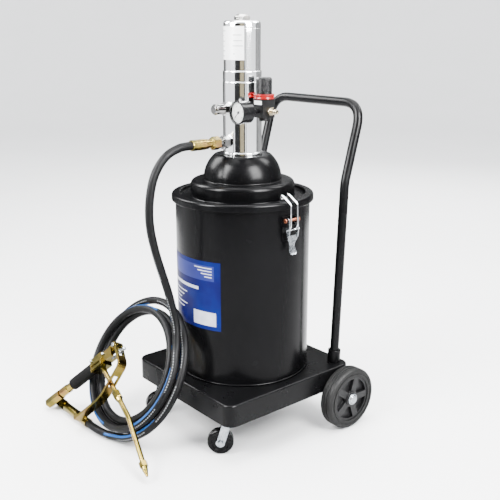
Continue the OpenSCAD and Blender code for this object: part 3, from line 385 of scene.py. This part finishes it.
# Air pump: a polished steel tube on a flange, with a narrower air motor and a rounded cap above.
# It is turned and hard chromed, and a hexagon plug closes the top.
# A white sticker printed with plain grey bars is on the motor.
chrome = surface("hard_chrome", ((0.3, (0.86, 0.87, 0.88)), (0.7, (0.93, 0.935, 0.94))), 0.07, metal=1,
                 scale=14, stretch=(1, 1, 0.15), spread=0.03, bump=0.03, bump_scale=60)
body_low, body_high, motor_high, motor_r = 554, 704, 792, 34.3
bm = bmesh.new()
turned(bm, [(17, dome_top + 0.1), (37, dome_top + 0.1)] + arc(37, 549.9, 0.9, -90, 0, 4)
       + arc(36.8, 552.9, 1, 0, 90, 4) + [(17, 553.9)], steps=128)
fit("flange_ring", bm, chrome, "base", "pump_flange")
tube = [(16.2, body_low)] + arc(35.7, body_low + 0.8, 0.8, -90, 0, 3)
tube += arc(35.7, body_high - 21.3, 0.8, 0, 90, 3)
tube += [(35.5, body_high - 20.3), (35.5, body_high - 19.6)] + arc(35.3, body_high - 18.7, 0.8, -90, 0, 3)
tube += arc(35.1, body_high - 2, 1, 0, 90, 4) + [(33.3, body_high - 0.9), (33.3, body_high)]
bm = bmesh.new()
turned(bm, tube, steps=128)
fit("pump_tube", bm, chrome, "base", "pump_body")
bm = bmesh.new()
turned(bm, [(31.3, body_high)] + arc(33.8, body_high + 0.5, 0.5, -90, 0, 3) + [(motor_r, 770)]
       + arc(33.9, 777.6, 0.4, 0, 90, 3) + [(31.3, 778)], steps=128)
fit("motor_sleeve", bm, chrome, "base", "motor_tube")
bm = bmesh.new()
turned(bm, [(31, 778.1)] + arc(33.9, 778.5, 0.4, -90, 0, 3) + arc(28.3, 786, 6, 0, 90, 8)
       + [(9, motor_high), (9, 784)], steps=128)
fit("motor_cap", bm, chrome, "base", "motor_head")


def hexagon(bm, wide, high, place):
    """Hexagon bar of a width across its flats, its corners turned off at both ends."""
    was = set(bm.verts)
    corner_r = wide / math.sqrt(3)
    bmesh.ops.create_cone(bm, cap_ends=True, segments=6, radius1=corner_r, radius2=corner_r, depth=high,
                          matrix=Matrix.Translation((0, 0, high / 2)))
    fresh = [v for v in bm.verts if v not in was]
    ends = [e for v in fresh for e in v.link_edges if abs(e.verts[0].co.z - e.verts[1].co.z) < 0.1]
    bmesh.ops.bevel(bm, geom=list(set(ends)), offset=wide / 22, affect="EDGES", segments=3, profile=0.5,
                    material=-1)
    bmesh.ops.transform(bm, matrix=place, verts=[v for v in bm.verts if v not in was])


plug_nickel = surface("plug_nickel", ((0.25, (0.26, 0.26, 0.25)), (0.5, (0.38, 0.375, 0.36)),
                                      (0.75, (0.36, 0.29, 0.18))), 0.2, metal=1, scale=60, spread=0.06)
bm = bmesh.new()
hexagon(bm, 27, 8, Matrix.Translation((0, 0, motor_high)))
turned(bm, [(0, motor_high + 8), (12.5, motor_high + 8), (9.5, motor_high + 11), (0, motor_high + 11)],
       steps=48)
turned(bm, [(0, motor_high - 7), (7.8, motor_high - 7), (7.8, motor_high + 1)], steps=48)
fit("plug_hexagon", bm, plug_nickel, "base", "top_plug", sharp=25)
sticker_white = surface("sticker_white", ((0.3, (0.78, 0.79, 0.79)), (0.7, (0.86, 0.86, 0.86))), 0.42,
                        scale=30, spread=0.06, bump=0.05)
grey_ink = surface("grey_ink", ((0.3, (0.20, 0.21, 0.22)), (0.7, (0.30, 0.31, 0.32))), 0.45, scale=60,
                   spread=0.05)
bm = bmesh.new()
wrap(bm, motor_r + 0.12, -150, -33, 723, 782)
for high, first, last in ((766, -68, -42), (756, -68, -39), (747, -70, -37), (733, -68, -62),
                          (773, -129, -100), (765, -129, -112), (755, -129, -104), (746, -129, -108),
                          (738, -129, -102), (729, -129, -106)):
    wrap(bm, motor_r + 0.18, first, last, high, high + 1.5, 1)
sticker = fit("motor_sticker", bm, sticker_white, "base")
sticker.data.materials.append(grey_ink)

# Inside the drum: the pump rod with its piston, the suction tube, the foot valve and the follower plate.
# They are turned steel, and the follower is a rubber edged plate that rides down on the grease.
ground_steel = surface("ground_steel", ((0.3, (0.40, 0.41, 0.43)), (0.7, (0.52, 0.53, 0.55))), 0.3, metal=1,
                       scale=80, stretch=(1, 1, 0.2), spread=0.08)
dress(ground_steel, "air_piston", "suction_tube", "foot_valve")
dress(rubber, "follower_plate")

# Exhaust muffler and outlet: screwed into the front of the pump tube, turned from hexagon bar.
# Both are nickel plated, and the muffler's end is closed with a chamfer.
to_front = Matrix.Rotation(math.radians(90), 4, "X")
to_side = Matrix.Rotation(math.radians(90), 4, "Y")
nickel = surface("nickel_plate", ((0.3, (0.10, 0.10, 0.10)), (0.7, (0.19, 0.187, 0.18))), 0.13, metal=1,
                 scale=120, spread=0.05, bump=0.05)
eased("muffler", nickel, 0.6, 3, 30)
eased("outlet_adapter", nickel, 0.6, 3, 30)

# Air regulator: a black nylon block on the side of the pump, with a red lock ring and a fluted knob.
# The knob pulls up to turn; a nickel plug for the air line points outwards.
block_nylon = surface("block_nylon", ((0.3, (0.002, 0.002, 0.0023)), (0.7, (0.004, 0.004, 0.0045))), 0.36,
                      scale=50, bump=0.2, bump_scale=1600, spread=0.06, shine=0.1)
ring_red = surface("ring_red", ((0.3, (0.17, 0.0012, 0.0018)), (0.7, (0.24, 0.0020, 0.0028))), 0.24,
                   scale=40, spread=0.05, shine=0.12)
knob_grey = surface("knob_grey", ((0.3, (0.0030, 0.0030, 0.0034)), (0.7, (0.0055, 0.0055, 0.006))), 0.3,
                    scale=60, bump=0.2, bump_scale=1800, spread=0.06, shine=0.15)
champagne = surface("champagne_nickel", ((0.3, (0.34, 0.29, 0.20)), (0.7, (0.46, 0.40, 0.30))), 0.2, metal=1,
                    scale=150, spread=0.06)
block_x, port_high, ring_low = 62, 634, 655.1
eased("regulator_body", block_nylon, 1.0, 3, 30)
bm = bmesh.new()
turned(bm, [(8.1, ring_low + 0.1)] + arc(17.6, ring_low + 1.5, 1.4, -90, 0, 4)
       + [(18.3, ring_low + 3.6), (18.3, ring_low + 5.2)] + arc(17.6, ring_low + 7.5, 1.4, 0, 90, 4)
       + [(8.1, ring_low + 8.9)], Matrix.Translation((block_x, 0, 0)))
fit("lock_ring", bm, ring_red, "base", "regulator_ring", sharp=30)
eased("regulator_knob", knob_grey, 0.5, 2, 35)
eased("air_inlet_plug", champagne, 0.4, 2, 30)
bm = bmesh.new()
bmesh.ops.create_cube(bm, size=1, matrix=Matrix.Translation((block_x, -14.2, 649))
                      @ Matrix.Diagonal((20, 0.8, 7, 1)))
soften(bm, 0.25)
fit("block_plate", bm, sticker_white, "base")

# Pressure gauge: a black steel case screwed into the block, with a white dial under a clear lens.
# Its ticks and plain numbers are printed, and the pointer turns on a short pin.
gauge_black = surface("gauge_black", ((0.3, (0.002, 0.002, 0.0023)), (0.7, (0.004, 0.004, 0.0045))), 0.24,
                      scale=60, bump=0.08, bump_scale=1200, spread=0.05, shine=0.08)
dial_white = surface("dial_white", ((0.3, (0.80, 0.80, 0.78)), (0.7, (0.86, 0.86, 0.84))), 0.4, scale=40,
                     spread=0.05)
dial_ink = surface("dial_ink", ((0.3, (0.012, 0.012, 0.012)), (0.7, (0.03, 0.03, 0.03))), 0.4, scale=80,
                   spread=0.05)
lens = surface("lens_clear", ((0.3, (0.97, 0.98, 0.98)), (0.7, (1.0, 1.0, 1.0))), 0.03, scale=30, spread=0.01)
clear = lens.node_tree.nodes["Principled BSDF"].inputs
clear["Transmission Weight"].default_value = 1
clear["IOR"].default_value = 1.15
eased("gauge_case", gauge_black, 0.6, 3, 30)
dress(dial_white, "gauge_dial")
dress(dial_ink, "gauge_needle")
dress(lens, "gauge_lens")
dial_face = Matrix.Translation((block_x, -59.26, port_high)) @ to_front
ticks, sweep_start, sweep, tick_r, number_r, top_number = 50, 225, 270, 17.4, 11.4, 5
bm = bmesh.new()
for k in range(ticks + 1):
    turn = Matrix.Rotation(math.radians(sweep_start - sweep * k / ticks), 4, "Z")
    deep, wide = (3.2, 0.55) if k % 10 == 0 else (2.2, 0.4) if k % 5 == 0 else (1.5, 0.25)
    tick = Matrix.Translation((tick_r - deep / 2, 0, 0)) @ Matrix.Diagonal((deep, wide, 1, 1))
    bmesh.ops.create_grid(bm, x_segments=1, y_segments=1, size=0.5, matrix=dial_face @ turn @ tick)
for k in range(top_number + 1):
    words = bpy.data.curves.new("dial_number", "FONT")
    words.body = str(2 * k)
    words.size = 4.6
    words.align_x, words.align_y = "CENTER", "CENTER"
    shown = bpy.data.objects.new("dial_number", words)
    bpy.context.scene.collection.objects.link(shown)
    bpy.context.view_layer.update()
    flat = bpy.data.meshes.new_from_object(shown.evaluated_get(bpy.context.evaluated_depsgraph_get()))
    turn = math.radians(sweep_start - sweep * k / top_number)
    flat.transform(dial_face @ Matrix.Translation((number_r * math.cos(turn), number_r * math.sin(turn), 0)))
    bm.from_mesh(flat)
    bpy.data.objects.remove(shown)
    bpy.data.meshes.remove(flat)
    bpy.data.curves.remove(words)
fit("dial_print", bm, dial_ink, "base")

# Grease hose: black reinforced rubber, 15.5 mm thick, with a blue line in lengths and fine pale dashes.
# It drops from the pump, is wound into a coil that leans on the drum, and ends in the gun's swivel.
yellow_zinc = surface("yellow_zinc", ((0.27, (0.060, 0.060, 0.016)), (0.42, (0.150, 0.115, 0.028)),
                                      (0.58, (0.250, 0.175, 0.045)), (0.75, (0.210, 0.100, 0.050))), 0.24,
                      metal=1, scale=38, spread=0.07, bump=0.06)
eased("hose_nut", yellow_zinc, 0.5, 2, 30)
sleeve = [(3, 0), (7.5, 0), (7.5, 6.5), (8.6, 6.7), (9.4, 7.6), (9.4, 14), (10.2, 15)]
bm = bmesh.new()
turned(bm, sleeve + [(10.2, 43), (9.5, 44), (7.8, 44)], Matrix.Translation((0, -76, 574)) @ to_front,
       steps=64)
fit("crimp_sleeve", bm, yellow_zinc, "base", "hose_ferrule", sharp=50)
hose_thick, coil_sweep, coil_r, strand_off, strand_rise = 15.5, 1176, 125, 16, 11.1
coil = Matrix.Translation((-95, -200, 134.5)) @ Matrix.Rotation(math.radians(62), 4, "X")
route = [(0, -118, 574), (0, -132, 573.6), (0, -146, 572), (0, -170, 563), (0, -189, 546), (0, -203, 522),
         (0, -211, 492), (0, -214, 460), (0, -212, 430), (0, -206, 400), (0, -198, 370), (0, -187, 335),
         (0, -178, 305), (2, -171, 272), (7, -168, 239), (15, -174, 209), (22, -181.5, 193)]
route = [Vector(p) for p in route]
for k in range(99):
    swing = coil_sweep * k / 98
    roll, around = math.radians(64 + swing / 4), math.radians(16 - swing)
    wide = coil_r + strand_off * math.cos(roll)
    rise = strand_rise * math.sin(roll)
    route.append(coil @ Vector((wide * math.cos(around), wide * math.sin(around), rise)))
tail = ((8, -143, 4.5), (-8, -145, 8), (-24, -146, 10.5), (-40, -146, 12), (-60, -146, 12.4))
route += [coil @ Vector(p) for p in tail]
line = [to_row @ route[0]]
for a, b, c, d in zip([route[0]] + route, route, route[1:], route[2:] + [route[-1]]):
    for k in range(1, 6):
        t = k / 5
        line.append(to_row @ (((-a + 3 * b - 3 * c + d) * t ** 3 + (2 * a - 5 * b + 4 * c - d) * t ** 2
                               + (c - a) * t + 2 * b) / 2))
bm = bmesh.new()
print_map = bm.loops.layers.uv.new("along_and_around")
sides, along, rings = 20, 0.0, []
across = Vector((1, 0, 0))
for k, place in enumerate(line):
    ahead = (line[min(k + 1, len(line) - 1)] - line[max(k - 1, 0)]).normalized()
    across = (across - ahead * across.dot(ahead)).normalized()
    up = ahead.cross(across)
    along += (place - line[k - 1]).length if k else 0
    turn = [2 * math.pi * s / sides for s in range(sides)]
    rings.append((along, [bm.verts.new(place + (across * math.cos(t) + up * math.sin(t)) * hose_thick / 2000)
                          for t in turn]))
for (near, first), (far, second) in zip(rings, rings[1:]):
    for s in range(sides):
        face = bm.faces.new((first[s], first[(s + 1) % sides], second[(s + 1) % sides], second[s]))
        for loop, spot in zip(face.loops, ((near, s), (near, s + 1), (far, s + 1), (far, s))):
            loop[print_map].uv = (spot[0], spot[1] / sides)
for end in (rings[0][1], rings[-1][1]):
    bm.faces.new(end)
hose_rubber = surface("hose_rubber", ((0.3, (0.0018, 0.0018, 0.0020)), (0.7, (0.0034, 0.0034, 0.0037))), 0.45,
                      scale=60, spread=0.08, shine=0.045)
tree = hose_rubber.node_tree
shader = tree.nodes["Principled BSDF"]
black = shader.inputs["Base Color"].links[0].from_socket


def sums(kind, a, b=0.0, c=0.0):
    """One step of arithmetic in the hose print; each term is a number or another step."""
    node = tree.nodes.new("ShaderNodeMath")
    node.operation = kind
    for socket, term in zip(node.inputs, (a, b, c)):
        if isinstance(term, (int, float)):
            socket.default_value = term
        else:
            tree.links.new(term, socket)
    return node.outputs[0]


def inked(under, colour, mask):
    """Lay a colour of ink over what is under it, where the mask is 1."""
    mix = tree.nodes.new("ShaderNodeMix")
    mix.data_type = "RGBA"
    tree.links.new(mask, mix.inputs["Factor"])
    tree.links.new(under, mix.inputs["A"])
    mix.inputs["B"].default_value = (*colour, 1)
    return mix.outputs["Result"]


uv = tree.nodes.new("ShaderNodeUVMap")
uv.uv_map = "along_and_around"
parts = tree.nodes.new("ShaderNodeSeparateXYZ")
tree.links.new(uv.outputs["UV"], parts.inputs["Vector"])
length_at, side_at = parts.outputs["X"], parts.outputs["Y"]
weave = sums("SINE", sums("ADD", sums("MULTIPLY", length_at, 1600), sums("MULTIPLY", side_at, 75.4)))
twist, blue_lengths, blue_share, blue_half = 0.42, 4.2, 0.62, 0.05
dashes, dash_share, dash_half, dash_shift, dash_groups, group_share = 190, 0.55, 0.022, 0.15, 9, 0.7


def inked_part(per_metre, share):
    """1 along the inked share of each length of print, 0 along the rest."""
    return sums("LESS_THAN", sums("FRACT", sums("MULTIPLY", length_at, per_metre)), share)


def on_line(around, half_wide):
    """1 within half a width of a line that runs along the hose, 0 beside it."""
    return sums("LESS_THAN", sums("ABSOLUTE", sums("SUBTRACT", sums("FRACT", around), 0.5)), half_wide)


turned_by = sums("ADD", side_at, sums("MULTIPLY", length_at, twist))
stripe = sums("MULTIPLY", inked_part(blue_lengths, blue_share), on_line(turned_by, blue_half))
dash = sums("MULTIPLY", inked_part(dashes, dash_share), inked_part(dash_groups, group_share))
dash = sums("MULTIPLY", dash, on_line(sums("ADD", turned_by, dash_shift), dash_half))
stripe = sums("MULTIPLY", stripe, sums("MULTIPLY_ADD", weave, 0.2, 0.75))
print_on = inked(black, (0.008, 0.066, 0.235), stripe)
print_on = inked(print_on, (0.13, 0.135, 0.14), dash)
tree.links.new(print_on, shader.inputs["Base Color"])
ply = tree.nodes.new("ShaderNodeBump")
ply.inputs["Strength"].default_value = 0.25
ply.inputs["Distance"].default_value = 0.0004
tree.links.new(weave, ply.inputs["Height"])
tree.links.new(ply.outputs["Normal"], shader.inputs["Normal"])
hose = fit("grease_hose", bm, hose_rubber, "base", "hose_drop", "hose_coil", "hose_tail",
           place=Matrix.Identity(4))

# Hose end and swivel: hexagon and round fittings that let the gun turn on its hose in two ways.
# They are machined steel, zinc plated and passivated yellow.
gun_zinc = surface("gun_zinc", ((0.27, (0.036, 0.036, 0.007)), (0.42, (0.090, 0.072, 0.013)),
                                (0.58, (0.170, 0.122, 0.025)), (0.75, (0.140, 0.062, 0.026))), 0.17,
                   metal=1, scale=24, spread=0.05, bump=0.03)
gun_parts = [eased("hose_end", gun_zinc, 0.5, 2, 30), eased("swivel_link", gun_zinc, 0.6, 2, 30),
             eased("swivel_block", gun_zinc, 0.8, 3, 30)]

# Grease gun: a head with raised rails on a tube with a rubber grip, and a bent strip lever on a pin.
# The metal is zinc plated and passivated yellow; the screws and the adjusting screw are bright.
gun = coil @ Matrix.Translation((-178, -146, 32)) @ Matrix.Rotation(math.radians(47.3), 4, "Z")
grip_at, grip_long = 74, 73
grip_rubber = surface("grip_rubber", ((0.3, (0.0014, 0.0014, 0.0014)), (0.7, (0.0026, 0.0026, 0.0026))), 0.6,
                      scale=90, bump=0.3, bump_scale=1500, spread=0.1, shine=0.03)
gun_parts.append(eased("gun_tube", gun_zinc, 0.5, 2, 30))
sleeve = [(8.6, 0.1), (10.4, 0.1)] + arc(10.4, 2.1, 2, -90, 0) + [(12.4, 60)]
sleeve += arc(11.4, grip_long - 1.1, 1, 0, 90) + [(8.6, grip_long - 0.1)]
bm = bmesh.new()
turned(bm, sleeve, gun @ Matrix.Translation((grip_at, 0, 0)) @ to_side, steps=64)
gun_parts.append(fit("rubber_grip", bm, grip_rubber, "gun", "grip"))
gun_parts.append(eased("gun_head", gun_zinc, 1.4, 3, 30))
bm = bmesh.new()
for near, far, low, high in ((149, 184, -13, -8.6), (149, 184, -3.4, 1), (180, 184, -9, -3)):
    rail = Matrix.Translation(((near + far) / 2, (low + high) / 2, 13))
    bmesh.ops.create_cube(bm, size=1, matrix=gun @ rail @ Matrix.Diagonal((far - near, high - low, 4, 1)))
soften(bm, 0.7, 2)
gun_parts.append(fit("head_rails", bm, gun_zinc, "gun"))
bm = bmesh.new()
for along, across, out in ((152.5, 9.5, 12), (189, 7, 10)):
    turned(bm, [(0, -1), (2.4, -1), (2.4, 0.8)] + arc(0, 2.4, 2.9, -34, 90, 8),
           gun @ Matrix.Translation((along, across, out)), steps=24)
gun_parts.append(fit("head_screws", bm, bright_zinc, "gun"))
thread, pitch = [(0, 0)], 1.6
for k in range(15):
    thread += [(2.9, k * pitch), (3.4, (k + 0.5) * pitch)]
bm = bmesh.new()
screw = gun @ Matrix.Translation((201, -7, 0)) @ to_side
turned(bm, thread + [(3.4, 25)], screw, steps=32)
hexagon(bm, 10, 5, screw @ Matrix.Translation((0, 0, 25)))
turned(bm, [(3.4, 30), (3.4, 36.6)] + arc(0, 39, 3.7, -40, 90, 8), screw, steps=32)
gun_parts.append(fit("adjusting_screw", bm, bright_zinc, "gun", "gun_end_plug"))
gun_parts.append(eased("trigger_lever", gun_zinc, 1.2, 3, 35))
gun_parts.append(eased("trigger_pin", bright_zinc, 0.6))

# Delivery tube: a bent steel pipe with a hexagon joint and a pointed tip that presses on the fitting.
# It is screwed into the gun's head and plated with it.
pipe_thick, lean, lean_past_bend, bend_at, past_bend, bend_r = 10, -69, -79, 158, 100, 60
root = Vector((grip_at + grip_long + 19, 0, 0))
first, second = (Vector((math.cos(math.radians(a)), math.sin(math.radians(a)), 0))
                 for a in (lean, lean_past_bend))
bend = root + first * bend_at
pipe = rounded([gun @ p for p in (root + first * 15, bend, bend + second * past_bend)], bend_r)
gun_parts.append(rod("delivery_pipe", [pipe], pipe_thick, gun_zinc, "gun", "nozzle_tube"))
joint = gun @ Matrix.Translation(root) @ Matrix.Rotation(math.radians(lean), 4, "Z") @ to_side
bm = bmesh.new()
hexagon(bm, 15, 18, joint @ Matrix.Translation((0, 0, 88)))
turned(bm, [(5, 105.5), (7, 105.5), (5.5, 113), (5, 113)], joint, steps=48)
gun_parts.append(fit("pipe_joint", bm, gun_zinc, "gun", sharp=25))
gun_parts.append(eased("nozzle_tip", gun_zinc, 0.5, 2, 30))

# Studio: a round paper sweep, soft lamps in large boxes, a bright room, and cloths and panels out of sight.
# The camera stands where the photographer stood, to the right of the front and a little above the lid.
ground = bpy.data.meshes.new("studio_floor")
bm = bmesh.new()
turned(bm, [(0.001, -0.5), (2500, -0.5)] + arc(5000, 2499.5, 2500, -90, 0, 24) + [(7500, 5200)], steps=96)
bmesh.ops.transform(bm, matrix=to_row, verts=bm.verts)
bmesh.ops.reverse_faces(bm, faces=[f for f in bm.faces if f.normal.z < 0])
bm.to_mesh(ground)
bm.free()
ground.shade_smooth()
ground.materials.append(surface("studio_paper", ((0.3, (0.86, 0.86, 0.86)), (0.7, (0.88, 0.88, 0.88))), 0.75,
                                scale=3, spread=0.05))
studio_floor = bpy.data.objects.new("studio_floor", ground)
bpy.context.scene.collection.objects.link(studio_floor)
middle = to_row @ Vector((0, 0, 380))
for name, place, wide, power in (
        ("window_left", (-0.05, -1.55, 1.7), 0.8, 95), ("window_right", (1.6, 0.0, 1.7), 0.8, 95),
        ("ceiling", (0.1, 0.1, 2.7), 2.0, 250), ("behind", (-1.2, 2.2, 1.8), 1.8, 80)):
    box = bpy.data.lights.new(name, "AREA")
    box.energy = power
    box.size = wide
    lamp = bpy.data.objects.new(name, box)
    spot = Vector(place)
    aim = (middle - spot).to_track_quat("-Z", "Y").to_matrix().to_4x4()
    lamp.matrix_world = Matrix.Translation(spot) @ aim
    bpy.context.scene.collection.objects.link(lamp)
room = bpy.data.worlds.new("bright_room")
bpy.context.scene.world = room
room.use_nodes = True
sky = room.node_tree.nodes["Background"]
sky.inputs["Color"].default_value = (0.95, 0.97, 1.0, 1)
sky.inputs["Strength"].default_value = 2.2
dark, warm, mild, pale = (0.006, 0.006, 0.006), (0.10, 0.085, 0.055), (0.08, 0.08, 0.08), (0.8, 0.8, 0.8)
for name, first, last, low, high, tone, glow in (
        ("flag_front", -85, -52, 0, 1500, dark, 0), ("flag_warm", -52, -30, 0, 1500, warm, 0),
        ("flag_thin", -30, -23, 0, 1500, dark, 0), ("flag_slit", -18.5, -15.5, 0, 1500, dark, 0),
        ("flag_right", 50, 138, 0, 1500, mild, 0), ("flag_back", 140, 182, 0, 1500, dark, 0),
        ("flag_left", 182, 204, 0, 1500, mild, 0), ("panel_left", -114, -89, 800, 2500, pale, 160),
        ("panel_right", -11, 18, 800, 2500, pale, 160), ("panel_back", 58, 78, 1700, 3000, pale, 60),
        ("panel_side", 190, 216, 1100, 2400, pale, 60)):
    bm = bmesh.new()
    wrap(bm, 1800, first, last, low, high)
    bmesh.ops.transform(bm, matrix=to_row, verts=bm.verts)
    cloth = bpy.data.meshes.new(name)
    bm.to_mesh(cloth)
    bm.free()
    weave = surface(name, ((0.3, tone), (0.7, [part * 1.2 for part in tone])), 0.9, scale=5, shine=0)
    weave.node_tree.nodes["Principled BSDF"].inputs["Emission Strength"].default_value = glow
    cloth.materials.append(weave)
    flag = bpy.data.objects.new(name, cloth)
    bpy.context.scene.collection.objects.link(flag)
    flag.visible_camera = flag.visible_diffuse = flag.visible_shadow = flag.visible_transmission = False
eye = bpy.data.cameras.new("photo_camera")
eye.lens = 56.28
eye.sensor_width = 36
eye.sensor_fit = "HORIZONTAL"
eye.shift_x = -0.0028
eye.clip_end = 40
right, upward, forward = (0.6424, 0.7664, 0), (-0.2082, 0.1745, 0.9624), Vector((-0.7376, 0.6182, -0.2716))
stand = to_row @ Vector((1150, -941.7, 776.4))
viewer = bpy.data.objects.new("photo_camera", eye)
viewer.matrix_world = Matrix.Translation(stand) @ Matrix((right, upward, -forward)).transposed().to_4x4()
bpy.context.scene.collection.objects.link(viewer)
bpy.context.scene.camera = viewer
